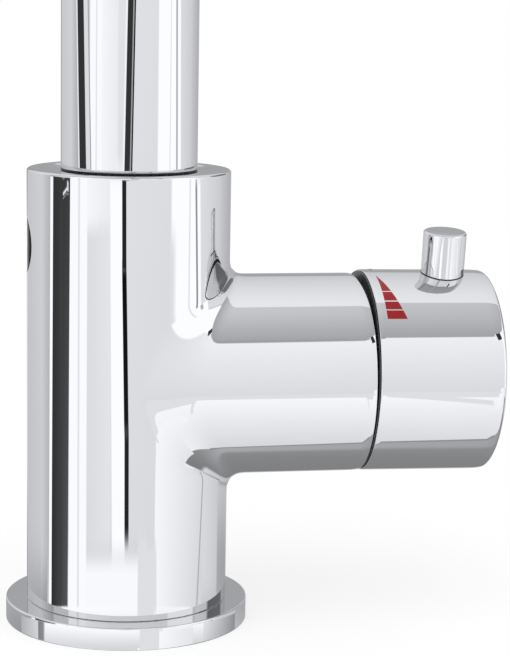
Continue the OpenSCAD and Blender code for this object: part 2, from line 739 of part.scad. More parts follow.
base_plate();
base_seal();
body();
shank();
deck_seal();
clamp_washer();
clamp_nut();
clamp_screws();
glide_ring();
swivel_bushes();
swivel_screw();
sensor_window();
sensor_seal();
sensor_case();
sensor_board();
sensor_eyes();
cable_grommet();
cartridge_housing();
port_seals();
cartridge_nut();
guide_clip();
gap_sleeve();
turn_guide();
spool();
spool_seals();
knob();
lever_pin();
knob_screw();
hot_mark();
cold_mark();
spout_tube();
spout_foot();
spout_seals();
dock_liner();
dock_magnet();
hose();
hose_coupling();
spray_collar();
catch_ring();
spray_shell();
spray_core();
face_plate();
jet_mat();
aerator();
hose_nut();
hose_reach();
rocker_axle();
rocker();
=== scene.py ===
# Touchless pull-down kitchen faucet with a side mixer knob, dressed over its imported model
# The worktop is z = 0, the spout reaches towards -Y and the knob towards +X. Values are in mm unless noted
import math

import bmesh
import bpy
from mathutils import Matrix, Vector


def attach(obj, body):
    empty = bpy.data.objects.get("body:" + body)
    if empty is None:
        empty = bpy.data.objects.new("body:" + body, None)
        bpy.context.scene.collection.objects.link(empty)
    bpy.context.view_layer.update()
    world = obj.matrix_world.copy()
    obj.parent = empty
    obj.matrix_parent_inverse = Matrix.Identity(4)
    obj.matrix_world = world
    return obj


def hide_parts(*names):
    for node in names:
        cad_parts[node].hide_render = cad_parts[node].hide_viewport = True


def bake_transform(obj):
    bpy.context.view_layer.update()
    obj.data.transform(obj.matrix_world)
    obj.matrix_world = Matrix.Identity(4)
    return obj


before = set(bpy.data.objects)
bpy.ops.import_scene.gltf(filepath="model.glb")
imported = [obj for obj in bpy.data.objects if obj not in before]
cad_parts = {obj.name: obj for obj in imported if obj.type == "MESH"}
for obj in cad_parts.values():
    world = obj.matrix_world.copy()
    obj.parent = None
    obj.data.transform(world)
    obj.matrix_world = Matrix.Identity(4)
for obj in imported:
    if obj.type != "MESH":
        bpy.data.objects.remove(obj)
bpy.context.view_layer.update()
mm = 0.001


def addObject(name, data):
    piece = bpy.data.objects.new(name, data)
    bpy.context.scene.collection.objects.link(piece)
    return piece


def meshOf(bm, name):
    mesh = bpy.data.meshes.new(name)
    bm.to_mesh(mesh)
    bm.free()
    return mesh


def onlyOf(parts, kind):
    return [part for part in parts if isinstance(part, kind)]


def fillInputs(tree, node, inputs):
    for key, value in inputs.items():
        if isinstance(value, bpy.types.NodeSocket):
            tree.links.new(value, node.inputs[key])
        else:
            node.inputs[key].default_value = value
    return node


def addNode(tree, kind, inputs=None, **settings):
    node = tree.nodes.new(kind)
    for name, value in settings.items():
        setattr(node, name, value)
    return fillInputs(tree, node, inputs or {})


def mathOf(tree, operation, *values):
    return addNode(tree, "ShaderNodeMath", dict(enumerate(values)), operation=operation).outputs[0]


def rangeOf(tree, value, low, high, start=0.0, end=1.0, smooth=True):
    inputs = {"Value": value, "From Min": low, "From Max": high, "To Min": start, "To Max": end}
    kind = "SMOOTHSTEP" if smooth else "LINEAR"
    return addNode(tree, "ShaderNodeMapRange", inputs, interpolation_type=kind).outputs[0]


def newGroup(name, inputs, outputs):
    group = bpy.data.node_groups.new(name, "ShaderNodeTree")
    for label, value in inputs.items():
        kind = "NodeSocketVector" if isinstance(value, tuple) else "NodeSocketFloat"
        group.interface.new_socket(label, in_out="INPUT", socket_type=kind).default_value = value
    for label in outputs:
        group.interface.new_socket(label, in_out="OUTPUT", socket_type="NodeSocketFloat")
    return group, group.nodes.new("NodeGroupInput").outputs, group.nodes.new("NodeGroupOutput").inputs


def useGroup(tree, group, inputs):
    node = tree.nodes.new("ShaderNodeGroup")
    node.node_tree = group
    return fillInputs(tree, node, inputs).outputs


# Camera at the photograph's viewing angle, in mm and radians
view = {"place": (-58.45, -485.48, 150.56), "turn": 0.1816, "tip": 0.1616, "roll": 0.0169, "lens": 114.03,
        "sensor": 36, "clip": (0.01, 20)}


def makeCamera():
    data = bpy.data.cameras.new("photoCamera")
    data.lens = view["lens"]
    data.sensor_width = view["sensor"]
    data.clip_start, data.clip_end = view["clip"]
    camera = addObject("photoCamera", data)
    turn = Matrix.Rotation(-view["turn"], 4, "Z") @ Matrix.Rotation(math.pi / 2 - view["tip"], 4, "X")
    place = Matrix.Translation(Vector(view["place"]) * mm)
    camera.matrix_world = place @ turn @ Matrix.Rotation(view["roll"], 4, "Z")
    bpy.context.scene.camera = camera


makeCamera()
print("camera in place")

# The studio that polished metal mirrors. Azimuth is 0 at the spout's front and 90 at the knob's side, and
# elevation is above the horizon, both in degrees; azimuths past 180 count on beyond the seam. Each card spans
# start to end and lies over the ones before it. Its tone, as a display shows it, is one value, or those of
# its lower left, lower right, upper left and upper right corners. Edge softens its outline, round rounds its
# corners and slant leans it sideways with elevation
studio = {
    "tint": (0.975, 0.985, 1.02),
    "gain": 1.333,
    "daylight": 0.92,
    "seam": -110,
    "under": 0.8,
    "curve": (0.055, 2.4),
    "cards": {
        # room, ceiling and table
        "room": {"start": (-400, -120), "end": (400, 120), "tone": 0.82},
        "ceilingBack": {"start": (96, -6), "end": (264, 120), "tone": (0.565, 0.585, 1.0, 1.0), "edge": 1.2},
        "ceilingBackHigh": {"start": (96, 20.5), "end": (264, 120), "tone": (0.79, 0.8, 1.0, 1.0),
                            "edge": 0.8},
        "ceilingFront": {"start": (-96, 44), "end": (96, 120), "tone": (0.64, 0.64, 0.95, 0.95)},
        "tableBack": {"start": (56, -120), "end": (258, -15), "tone": (0.78, 0.7, 0.48, 0.42), "edge": 2},
        "tableShade": {"start": (100, -90), "end": (186, -36), "tone": (0.56, 0.5, 0.56, 0.5), "edge": 14},
        "tableBackRim": {"start": (84, -27), "end": (258, -15.6), "tone": (0.84, 0.6, 0.84, 0.56), "edge": 4},
        "tableFront": {"start": (-77, -120), "end": (56, -15.6), "tone": (0.76, 0.76, 0.985, 0.985),
                       "edge": 0.5},
        "tableEdge": {"start": (54, -90), "end": (60, -64), "tone": 0.56, "edge": 1.5},
        # front wall with its lamps
        "frontWall": {"start": (-76, -15.3), "end": (43, 44), "tone": (0.885, 0.855, 0.955, 0.94),
                      "edge": 0.5},
        "cornice": {"start": (-60, 44), "end": (19, 46.5), "tone": 0.62, "edge": 1.2},
        "frontLeft": {"start": (-54, -15.4), "end": (-26, -6.5), "tone": (0.865, 0.9, 0.87, 0.905),
                      "edge": 0.6},
        "frontLeftGlow": {"start": (-54, -6.5), "end": (-26, 44), "tone": (0.975, 0.93, 0.95, 0.92),
                          "edge": 0.4},
        "leftCard": {"start": (-76.5, -30), "end": (-53.8, 44), "tone": 0.99, "edge": 0.7},
        "leftCardSeam": {"start": (-65, -30), "end": (-63, 44), "tone": 0.88, "edge": 0.9},
        "lampStrip": {"start": (-30, -15.6), "end": (-15.5, -5), "tone": 1.0, "edge": 0.6, "slant": -0.42},
        # right, back and left walls
        "rightWall": {"start": (80, -17), "end": (122, 44), "tone": (0.875, 0.8, 0.875, 0.8), "edge": 1},
        "rightBack": {"start": (121, -13.6), "end": (170, 20), "tone": (0.785, 0.65, 0.775, 0.64), "edge": 2},
        "doorway": {"start": (101, 4), "end": (136, 26), "tone": (0.38, 0.42, 0.46, 0.5), "edge": 3,
                    "round": 8},
        "leftWall": {"start": (192, -16.5), "end": (238, 44), "tone": (0.77, 0.8, 0.86, 0.9), "edge": 2},
        "leftSide": {"start": (-123, -16.5), "end": (-99, 44), "tone": (0.82, 0.66, 0.88, 0.68), "edge": 1.5},
        # white card at the right, on the table
        "rightCard": {"start": (41.5, -16), "end": (76, 46), "tone": 1.0, "edge": 1.5},
        "rightCardSide": {"start": (66, -16), "end": (74.8, -5), "tone": 1.0, "edge": 0.5, "slant": -0.95},
        "rightCardTop": {"start": (70, -5.05), "end": (85.2, 46), "tone": 1.0, "edge": 0.05, "slant": -0.9},
        "rightCardShade": {"start": (41.5, -9.4), "end": (48, -6.8), "tone": (0.84, 0.97, 0.84, 0.97),
                           "edge": 0.7},
        "rightCardSeam": {"start": (64.2, -10), "end": (66, 3), "tone": 0.88, "edge": 0.8},
        "rightCardPole": {"start": (66.6, -9.0), "end": (69.2, -5.1), "tone": 0.56, "edge": 0.3,
                          "slant": -1.1},
        "rightCardPost": {"start": (74.6, -5.05), "end": (78.6, -0.1), "tone": 0.7, "edge": 0.05,
                          "slant": -0.75},
        "table": {"start": (25, -17.6), "end": (92, -11.4), "tone": (0.98, 0.82, 0.97, 0.88), "edge": 0.5,
                  "round": 5},
        "tableLine": {"start": (118.7, -17.4), "end": (120.3, -11.6), "tone": 0.64, "edge": 0.8,
                      "slant": 2.2},
        # dark flag at the left, with a lit catch and rims
        "flag": {"start": (-99.4, -16.9), "end": (-74.5, -5.08), "tone": (0.18, 0.34, 0.2, 0.24),
                 "edge": 0.04, "slant": 0.2},
        "flagSeam": {"start": (-89.5, -16.8), "end": (-86.5, -5.7), "tone": 0.25, "edge": 0.8},
        "flagCatch": {"start": (-85.5, -5.54), "end": (-77.8, -5.44), "tone": 0.93, "edge": 0.03},
        "flagCatchPost": {"start": (-79.8, -5.46), "end": (-77.8, -5.26), "tone": 0.85, "edge": 0.03},
        "flagCatchLine": {"start": (-85.5, -5.63), "end": (-77.8, -5.6), "tone": 0.7, "edge": 0.015},
        "flagTopGlow": {"start": (-92, -5.05), "end": (-81, 2), "tone": 0.87, "edge": 0.05, "slant": -1.5},
        "flagTopLine": {"start": (-82.4, -5.05), "end": (-80.4, 2), "tone": 0.62, "edge": 0.05,
                        "slant": -1.5},
        "flagTop": {"start": (-105.6, -5.05), "end": (-91, 2), "tone": 0.2, "edge": 0.05, "slant": -1.5},
        "flagTopRim": {"start": (-108.6, -5.05), "end": (-105.8, 2), "tone": 0.93, "edge": 0.05,
                       "slant": -1.5},
        "flagRim": {"start": (-104, -16.9), "end": (-99.5, -5.08), "tone": 1.0, "edge": 0.2, "slant": 0.2},
        # camera on its stand, with the lamp's arm over it
        "cameraFoot": {"start": (-12.4, -15.1), "end": (-7.8, -12.1), "tone": 0.14, "edge": 0.4,
                       "slant": -0.2},
        "cameraLeg": {"start": (-19.9, -12.2), "end": (-15.1, -7.5), "tone": (0.1, 0.1, 0.06, 0.06),
                      "edge": 0.4, "slant": -0.78},
        "cameraPost": {"start": (-16.1, -7.6), "end": (-11.5, -5.08), "tone": 0.14, "edge": 0.05,
                       "slant": -0.3},
        "cameraGlow": {"start": (-13.5, -5.05), "end": (-10.2, 1.5), "tone": 0.96, "edge": 0.05,
                       "slant": 0.93},
        "camera": {"start": (-10.3, -5.05), "end": (-1.5, 1.5), "tone": 0.2, "edge": 0.05, "slant": 0.93},
        "cameraSlit": {"start": (-1.5, -5.05), "end": (0.8, 1.5), "tone": 0.62, "edge": 0.05, "slant": 0.93},
        "cameraEdge": {"start": (0.6, -5.05), "end": (2.9, 1.5), "tone": 0.12, "edge": 0.05, "slant": 0.93},
        "lampArm": {"start": (31, 39), "end": (38, 46), "tone": 0.2, "edge": 0.4},
        # what the base plate's rounded rims mirror
        "footFront": {"start": (-90, -18.7), "end": (72, -16.93), "tone": (0.85, 0.83, 1.0, 0.98),
                      "edge": 0.04},
        "footLeft": {"start": (-126, -18.7), "end": (-92, -16.93), "tone": (0.7, 0.86, 0.7, 0.88),
                     "edge": 0.04},
        "footPost": {"start": (-99, -18.7), "end": (-91.5, -16.93), "tone": (0.5, 0.56, 0.5, 0.56),
                     "edge": 0.04},
        "footRight": {"start": (72, -18.7), "end": (122, -16.93), "tone": (0.83, 0.56, 0.9, 0.56),
                      "edge": 0.04},
        "footFrontLow": {"start": (-74, -25), "end": (4, -18.7), "tone": 0.83, "edge": 0.05},
        "footStripe": {"start": (-34, -25), "end": (-22, -19), "tone": 1.0, "edge": 0.05},
        # wall and table beside the crease under the branch
        "wallFoot": {"start": (6, -19.3), "end": (16, -15), "tone": 0.88, "edge": 0.3},
        "wallCorner": {"start": (5.1, -31), "end": (6.7, -15.2), "tone": 0.88, "edge": 0.2, "slant": -0.465},
        "wallSkirt": {"start": (5.1, -21.6), "end": (20, -15.2), "tone": 0.88, "edge": 0.5, "slant": -0.465},
        "tableRight": {"start": (24.6, -34), "end": (60, -17.1), "tone": (0.965, 0.9, 0.98, 0.9),
                       "edge": 0.3},
    },
}


def makeCardGroup():
    inputs = {"Base": 1.0, "Azimuth": 0.0, "Elevation": 0.0, "From": 0.0, "To": 1.0, "Low": 0.0, "High": 1.0,
              "Edge": 1.0, "Round": 1.0, "Slant": 0.0,
              "Low Left": 1.0, "Low Right": 1.0, "High Left": 1.0, "High Right": 1.0}
    group, given, result = newGroup("studioCard", inputs, ["Tone"])

    def of(operation, *values):
        return mathOf(group, operation, *values)

    def beyond(value, low, high):
        middle = of("MULTIPLY", of("ADD", low, high), 0.5)
        core = of("SUBTRACT", of("MULTIPLY", of("SUBTRACT", high, low), 0.5), given["Round"])
        return of("MAXIMUM", of("SUBTRACT", of("ABSOLUTE", of("SUBTRACT", value, middle)), core), 0.0)

    def between(share, low, high):
        inputs = {"Factor": share, "A": low, "B": high}
        return addNode(group, "ShaderNodeMix", inputs, data_type="FLOAT").outputs[0]

    across = of("SUBTRACT", given["Azimuth"], of("MULTIPLY", given["Slant"], given["Elevation"]))
    up = given["Elevation"]
    side, rise = beyond(across, given["From"], given["To"]), beyond(up, given["Low"], given["High"])
    length = of("SQRT", of("ADD", of("MULTIPLY", side, side), of("MULTIPLY", rise, rise)))
    outside = of("SUBTRACT", length, given["Round"])
    mask = rangeOf(group, outside, of("MULTIPLY", given["Edge"], -1.0), given["Edge"], 1.0, 0.0)
    shareAcross = rangeOf(group, across, given["From"], given["To"], smooth=False)
    shareUp = rangeOf(group, up, given["Low"], given["High"], smooth=False)
    tone = between(shareUp, between(shareAcross, given["Low Left"], given["Low Right"]),
                   between(shareAcross, given["High Left"], given["High Right"]))
    group.links.new(between(mask, given["Base"], tone), result["Tone"])
    return group


def mixShaders(tree, share, first, second):
    return addNode(tree, "ShaderNodeMixShader", {0: share, 1: first.outputs[0], 2: second.outputs[0]})


def shinyRay(tree, path):
    return mathOf(tree, "MAXIMUM", path["Is Glossy Ray"], path["Is Transmission Ray"])


def makeStudio():
    world = bpy.data.worlds.new("studio")
    bpy.context.scene.world = world
    world.use_nodes = True
    tree = world.node_tree
    tree.nodes.clear()
    direction = addNode(tree, "ShaderNodeTexCoord").outputs["Generated"]
    toward = addNode(tree, "ShaderNodeSeparateXYZ", {0: direction}).outputs
    back = mathOf(tree, "MULTIPLY", toward["Y"], -1.0)
    azimuth = mathOf(tree, "DEGREES", mathOf(tree, "ARCTAN2", toward["X"], back))
    behind = mathOf(tree, "MULTIPLY", mathOf(tree, "LESS_THAN", azimuth, studio["seam"]), 360.0)
    wrapped = mathOf(tree, "ADD", azimuth, behind)
    elevation = mathOf(tree, "DEGREES", mathOf(tree, "ARCSINE", toward["Z"]))
    group = makeCardGroup()
    tone = studio["under"]
    for card in studio["cards"].values():
        (left, low), (right, high) = card["start"], card["end"]
        most = min(right - left, high - low) / 2
        edge = min(card.get("edge", 1.0), most)
        tones = card["tone"] if isinstance(card["tone"], tuple) else (card["tone"],) * 4
        corners = dict(zip(("Low Left", "Low Right", "High Left", "High Right"), tones))
        tone = useGroup(tree, group, {
            "Base": tone, "Azimuth": wrapped if right > 180 else azimuth, "Elevation": elevation,
            "From": left, "To": right, "Low": low, "High": high, "Edge": edge,
            "Round": min(max(card.get("round", 0.0), edge), most), "Slant": card.get("slant", 0.0),
            **corners})["Tone"]
    shift, power = studio["curve"]
    light = mathOf(tree, "POWER", mathOf(tree, "DIVIDE", mathOf(tree, "ADD", tone, shift), 1 + shift), power)
    strength = mathOf(tree, "MULTIPLY", light, studio["gain"])
    mirrored = addNode(tree, "ShaderNodeBackground", {"Color": (*studio["tint"], 1), "Strength": strength})
    white = addNode(tree, "ShaderNodeBackground", {"Color": (1, 1, 1, 1), "Strength": 1.0})
    soft = addNode(tree, "ShaderNodeBackground", {"Color": (1, 1, 1, 1), "Strength": studio["daylight"]})
    path = addNode(tree, "ShaderNodeLightPath").outputs
    seen = mixShaders(tree, path["Is Camera Ray"], soft, white)
    both = mixShaders(tree, shinyRay(tree, path), seen, mirrored)
    addNode(tree, "ShaderNodeOutputWorld", {"Surface": both.outputs[0]})


floor = {"half": 9000, "colour": (0.9, 0.9, 0.91, 1), "near": 60, "far": 420, "glow": 0.68}


def makeFloor():
    bm = bmesh.new()
    bmesh.ops.create_grid(bm, x_segments=8, y_segments=8, size=floor["half"] * mm)
    piece = addObject("studioFloor", meshOf(bm, "studioFloor"))
    material = bpy.data.materials.new("floorPaper")
    material.use_nodes = True
    tree = material.node_tree
    tree.nodes.clear()
    paper = addNode(tree, "ShaderNodeBsdfDiffuse", {"Color": floor["colour"]})
    backdrop = addNode(tree, "ShaderNodeEmission", {"Color": (1, 1, 1, 1), "Strength": 1.0})
    clear = addNode(tree, "ShaderNodeBsdfTransparent", {"Color": (1, 1, 1, 1)})
    path = addNode(tree, "ShaderNodeLightPath").outputs
    # the paper turns into the white backdrop away from the base, where no shadow falls
    place = addNode(tree, "ShaderNodeTexCoord").outputs["Object"]
    away = addNode(tree, "ShaderNodeVectorMath", {0: place}, operation="LENGTH").outputs["Value"]
    glow = rangeOf(tree, away, floor["near"] * mm, floor["far"] * mm, floor["glow"], 1.0)
    share = mathOf(tree, "MULTIPLY", path["Is Camera Ray"], glow)
    lit = mixShaders(tree, share, paper, backdrop)
    # mirrors see the studio's own table below the horizon, and a view from under the worktop sees through it
    under = addNode(tree, "ShaderNodeNewGeometry").outputs["Backfacing"]
    hidden = mathOf(tree, "MAXIMUM", under, shinyRay(tree, path))
    both = mixShaders(tree, hidden, lit, clear)
    addNode(tree, "ShaderNodeOutputMaterial", {"Surface": both.outputs[0]})
    piece.data.materials.append(material)


lamps = {
    "softOverhead": {"place": (-250, -500, 1100), "size": 900, "power": 5.0},
    "softSide": {"place": (700, -500, 500), "size": 700, "power": 2.0},
}
lampTarget = (0, 0, 100)


def makeLamps():
    for name, values in lamps.items():
        data = bpy.data.lights.new(name, "AREA")
        data.energy = values["power"]
        data.size = values["size"] * mm
        lamp = addObject(name, data)
        lamp.location = Vector(values["place"]) * mm
        lamp.rotation_euler = (Vector(lampTarget) * mm - lamp.location).to_track_quat("-Z", "Y").to_euler()
        lamp.visible_glossy = False


makeStudio()
makeFloor()
makeLamps()
bpy.context.scene.view_settings.view_transform = "Standard"
print("studio lit")

# Effects that several finishes share
grain = {"detail": 5.0, "rough": 0.6, "low": 0.32, "high": 0.7, "darken": 0.93}


def makeVariationGroup():
    inputs = {"Scale": 200.0, "Low": 0.0, "High": 1.0, "Stretch": (1.0, 1.0, 1.0)}
    group, given, result = newGroup("fineVariation", inputs, ["Value", "Mask"])
    place = addNode(group, "ShaderNodeTexCoord").outputs["Object"]
    spread = addNode(group, "ShaderNodeVectorMath", {0: place, 1: given["Stretch"]}, operation="MULTIPLY")
    noise = addNode(group, "ShaderNodeTexNoise", {"Vector": spread.outputs[0], "Scale": given["Scale"],
                                                  "Detail": grain["detail"], "Roughness": grain["rough"]})
    mask = rangeOf(group, noise.outputs[0], grain["low"], grain["high"])
    value = rangeOf(group, mask, 0.0, 1.0, given["Low"], given["High"], False)
    group.links.new(value, result["Value"])
    group.links.new(mask, result["Mask"])
    return group


def placeIn(group):
    place = addNode(group, "ShaderNodeTexCoord").outputs["Object"]
    return addNode(group, "ShaderNodeSeparateXYZ", {0: place}).outputs


def turnOf(group, y, x):
    return mathOf(group, "DIVIDE", mathOf(group, "ARCTAN2", y, x), 2 * math.pi)


def riseOf(group, z, pitch):
    return mathOf(group, "DIVIDE", z, mathOf(group, "MULTIPLY", pitch, mm))


def makeThreadGroup():
    group, given, result = newGroup("threadRidges", {"Pitch": 1.5}, ["Height"])
    place = placeIn(group)
    turn = turnOf(group, place["Y"], place["X"])
    climb = mathOf(group, "ADD", riseOf(group, place["Z"], given["Pitch"]), turn)
    ridge = mathOf(group, "PINGPONG", climb, 0.5)
    group.links.new(mathOf(group, "MULTIPLY", ridge, 2.0), result["Height"])
    return group


def makeBraidGroup():
    inputs = {"Strands": 14.0, "Pitch": 1.5, "Centre Y": 0.0}
    group, given, result = newGroup("braid", inputs, ["Height", "Strand"])

    def of(operation, *values):
        return mathOf(group, operation, *values)

    place = placeIn(group)
    turn = turnOf(group, of("SUBTRACT", place["Y"], given["Centre Y"]), place["X"])
    around = of("MULTIPLY", turn, given["Strands"])
    rise = riseOf(group, place["Z"], given["Pitch"])
    left, right = of("ADD", around, rise), of("SUBTRACT", around, rise)
    leftRib, rightRib = (of("ABSOLUTE", of("SINE", of("MULTIPLY", way, math.pi))) for way in (left, right))
    parity = of("MODULO", of("ADD", of("FLOOR", left), of("FLOOR", right)), 2.0)
    over = of("GREATER_THAN", of("ABSOLUTE", parity), 0.5)
    ribs = {"Factor": over, "A": leftRib, "B": rightRib}
    top = addNode(group, "ShaderNodeMix", ribs, data_type="FLOAT").outputs[0]
    group.links.new(top, result["Height"])
    group.links.new(over, result["Strand"])
    return group


variation = makeVariationGroup()
thread = makeThreadGroup()
braid = makeBraidGroup()


def makeMaterial(name, colour, metallic=0.0, rough=(0.3, 0.4), scale=250.0, stretch=(1, 1, 1), bump=0.0,
                 darker=None, **plain):
    material = bpy.data.materials.new(name)
    material.use_nodes = True
    tree = material.node_tree
    shader = tree.nodes["Principled BSDF"]
    shader.inputs["Metallic"].default_value = metallic
    for label, value in plain.items():
        shader.inputs[label.replace("_", " ")].default_value = value
    vary = useGroup(tree, variation, {"Scale": scale, "Low": rough[0], "High": rough[1], "Stretch": stretch})
    tree.links.new(vary["Value"], shader.inputs["Roughness"])
    second = darker or tuple(grain["darken"] * part for part in colour)
    mixColours(tree, shader, vary["Mask"], colour, second)
    if bump:
        addHeight(tree, shader, vary["Mask"], bump)
    return material, tree, shader


def mixColours(tree, shader, share, first, second):
    inputs = {"Factor": share, "A": (*first, 1), "B": (*second, 1)}
    mixed = addNode(tree, "ShaderNodeMix", inputs, data_type="RGBA")
    tree.links.new(mixed.outputs["Result"], shader.inputs["Base Color"])


def addHeight(tree, shader, height, depth):
    bump = addNode(tree, "ShaderNodeBump", {"Height": height, "Distance": depth * mm, "Strength": 1.0})
    tree.links.new(bump.outputs[0], shader.inputs["Normal"])


# One finish per material slot: roughness varies within its range, and bump is the grain's depth
finishes = {
    "polished_chrome": dict(colour=(0.75, 0.75, 0.75), darker=(0.743, 0.745, 0.748), metallic=1.0,
                            rough=(0.006, 0.014), scale=60, Specular_Tint=(0.88, 0.88, 0.88, 1)),
    "chromed_plastic": dict(colour=(0.74, 0.74, 0.745), metallic=1.0, rough=(0.03, 0.06), scale=90),
    "raw_brass": dict(colour=(0.72, 0.53, 0.26), darker=(0.62, 0.44, 0.2), metallic=1.0, rough=(0.22, 0.38),
                      scale=140),
    "steel": dict(colour=(0.62, 0.62, 0.63), metallic=1.0, rough=(0.2, 0.34), scale=300, stretch=(1, 1, 6)),
    "black_rubber": dict(colour=(0.018, 0.018, 0.019), darker=(0.03, 0.03, 0.03), rough=(0.5, 0.68),
                         scale=700, bump=0.02),
    "jet_rubber": dict(colour=(0.26, 0.27, 0.28), rough=(0.5, 0.62), scale=600, bump=0.01),
    "black_plastic": dict(colour=(0.02, 0.02, 0.022), darker=(0.03, 0.03, 0.03), rough=(0.32, 0.45),
                          scale=900, bump=0.012),
    "white_plastic": dict(colour=(0.8, 0.8, 0.77), rough=(0.28, 0.4), scale=500, bump=0.006),
    "window_black": dict(colour=(0.006, 0.005, 0.007), rough=(0.1, 0.16), scale=150,
                         Specular_IOR_Level=0.03),
    "sensor_lamp": dict(colour=(0.03, 0.02, 0.09), rough=(0.06, 0.1), scale=400, Coat_Weight=0.6),
    "circuit_board": dict(colour=(0.02, 0.17, 0.07), darker=(0.03, 0.22, 0.09), rough=(0.3, 0.45),
                          scale=1200),
    "grey_plastic": dict(colour=(0.36, 0.37, 0.38), rough=(0.35, 0.48), scale=800, bump=0.01),
    "steel_mesh": dict(colour=(0.66, 0.67, 0.68), metallic=1.0, rough=(0.18, 0.3), scale=400),
    "woven_hose": dict(colour=(0.05, 0.05, 0.053), darker=(0.09, 0.09, 0.095), rough=(0.4, 0.55), scale=900),
    "hot_red": dict(colour=(0.27, 0.003, 0.005), darker=(0.23, 0.003, 0.004), rough=(0.26, 0.36), scale=500,
                    Specular_IOR_Level=0.3),
    "cold_blue": dict(colour=(0.004, 0.03, 0.22), darker=(0.004, 0.025, 0.19), rough=(0.26, 0.36), scale=500,
                      Specular_IOR_Level=0.3),
}
materials = {slot: makeMaterial(slot, **values)[0] for slot, values in finishes.items()}
shankRidges = {"pitch": 1.5, "depth": 0.9}
weave = {"strands": 16.0, "pitch": 2.2, "depth": 0.35, "under": (0.035, 0.035, 0.037),
         "over": (0.12, 0.12, 0.125)}


def makeThreaded(name, slot, values):
    material, tree, shader = makeMaterial(name, **finishes[slot])
    ridges = useGroup(tree, thread, {"Pitch": values["pitch"]})
    addHeight(tree, shader, ridges["Height"], values["depth"])
    return material


def makeBraided(name, centreY):
    material, tree, shader = makeMaterial(name, **finishes["woven_hose"])
    inputs = {"Strands": weave["strands"], "Pitch": weave["pitch"], "Centre Y": centreY * mm}
    woven = useGroup(tree, braid, inputs)
    addHeight(tree, shader, woven["Height"], weave["depth"])
    mixColours(tree, shader, woven["Strand"], weave["under"], weave["over"])
    return material


special = {"shank": makeThreaded("shankThread", "raw_brass", shankRidges),
           "hose": makeBraided("hoseBraid", 0)}

for name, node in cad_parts.items():
    for place in node.material_slots:
        place.material = special.get(name) or materials[place.material.name.split(".")[0]]
print("finishes given")

# Distances within which points count as on the same line, or as one
near, tiny = 0.01, 1e-4


def closedPiece(bm, name, body, slot, replaced=(), corner=32, weighted=True, place=None):
    bmesh.ops.remove_doubles(bm, verts=bm.verts, dist=tiny)
    bmesh.ops.recalc_face_normals(bm, faces=bm.faces)
    if place:
        bmesh.ops.transform(bm, matrix=place, verts=bm.verts)
    bmesh.ops.scale(bm, vec=(mm, mm, mm), verts=bm.verts)
    mesh = meshOf(bm, name)
    mesh.shade_smooth()
    mesh.set_sharp_from_angle(angle=math.radians(corner))
    mesh.materials.append(materials[slot])
    piece = addObject(name, mesh)
    if weighted:
        leadFlatFaces(piece, 100)
    if body:
        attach(piece, body)
    if replaced:
        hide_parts(*replaced)
    return piece


def leadFlatFaces(piece, weight):
    level = piece.modifiers.new("flatFacesLead", "WEIGHTED_NORMAL")
    level.keep_sharp = True
    level.weight = weight


def lathe(profile, steps=144, closed=True):
    bm = bmesh.new()
    points = [bm.verts.new((radius, 0, height)) for radius, height in profile]
    pairs = zip(points, points[1:] + points[:1]) if closed else zip(points, points[1:])
    lines = [bm.edges.new(pair) for pair in pairs]
    bmesh.ops.spin(bm, geom=points + lines, cent=(0, 0, 0), axis=(0, 0, 1), angle=2 * math.pi, steps=steps,
                   use_merge=True)
    bmesh.ops.remove_doubles(bm, verts=bm.verts, dist=tiny)
    return bm


def roundRing(bm, radius, height, size, segments=6, y=0.0):
    def onRing(vert):
        return abs(math.hypot(vert.co.x, vert.co.y - y) - radius) < near and abs(vert.co.z - height) < near

    ring = [edge for edge in bm.edges if all(onRing(vert) for vert in edge.verts)]
    bmesh.ops.bevel(bm, geom=ring, offset=size, segments=segments, profile=0.5, affect="EDGES", material=-1)


def cutAway(piece, cutter, solver):
    cut = piece.modifiers.new("cut", "BOOLEAN")
    cut.operation = "DIFFERENCE"
    cut.object = cutter
    cut.solver = solver
    bpy.context.view_layer.update()
    done = bpy.data.meshes.new_from_object(piece.evaluated_get(bpy.context.evaluated_depsgraph_get()))
    bpy.data.objects.remove(cutter)
    piece.modifiers.clear()
    piece.data = done


# Body and branch are one casting: two tubes of one radius whose crease is filled most at the sides. Turns are
# in degrees
cast = {"radius": 24.0, "bottom": 5.35, "top": 108.6, "footRound": 0.3, "topRound": 0.7, "turns": 72,
        "branchZ": 59.15, "branchEnd": 55.65, "branchRound": 0.3, "blend": 4.3, "frontFade": 0.09,
        "creaseRows": (15, 13.5, 12, 10.6, 9.3, 8.1, 7, 6, 5.1, 4.3, 3.5, 2.8, 2.1, 1.4, 0.7, 0),
        "soften": 5.2, "softFade": 0.03, "sideSoften": 4.0, "sideFrom": 12, "sideSpan": 7,
        "tipRound": 0.2, "tipLift": 1.3, "tipPower": 6, "roll": 0.2, "rollLength": 2.6,
        "rollRows": (2.6, 2.0, 1.5, 1.0, 0.6), "windowZ": 90.65, "windowHole": 6.7, "windowTurn": 2.6,
        "boreTurn": 5.3, "boreFrom": -15, "boreMargin": 0.1, "cutterDepth": 20, "cutterOut": 3,
        "rimFrom": 22, "rimGrow": 1.003, "tipFrom": 18, "tipReach": 1, "weld": 0.02, "settleSteps": 5}
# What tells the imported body's outer faces, which the cast skin replaces, from its bores
skin = {"deepest": -1.2, "leastSlope": 0.2, "facing": 0.6, "tipMargin": 0.12, "flat": 0.9999, "corner": 30}


def fadeOf(x, rate):
    return 1 - math.exp(-((x / cast["radius"]) ** 2) / rate)


def castField(place):
    upright = math.hypot(place.x, place.y) - cast["radius"]
    if place.x <= 0:
        return upright
    branch = math.hypot(place.y, place.z - cast["branchZ"]) - cast["radius"]
    blend = cast["blend"] * fadeOf(place.x, cast["frontFade"]) + 1e-9
    share = max(blend - abs(upright - branch), 0) / blend
    return min(upright, branch) - share * share * blend / 4


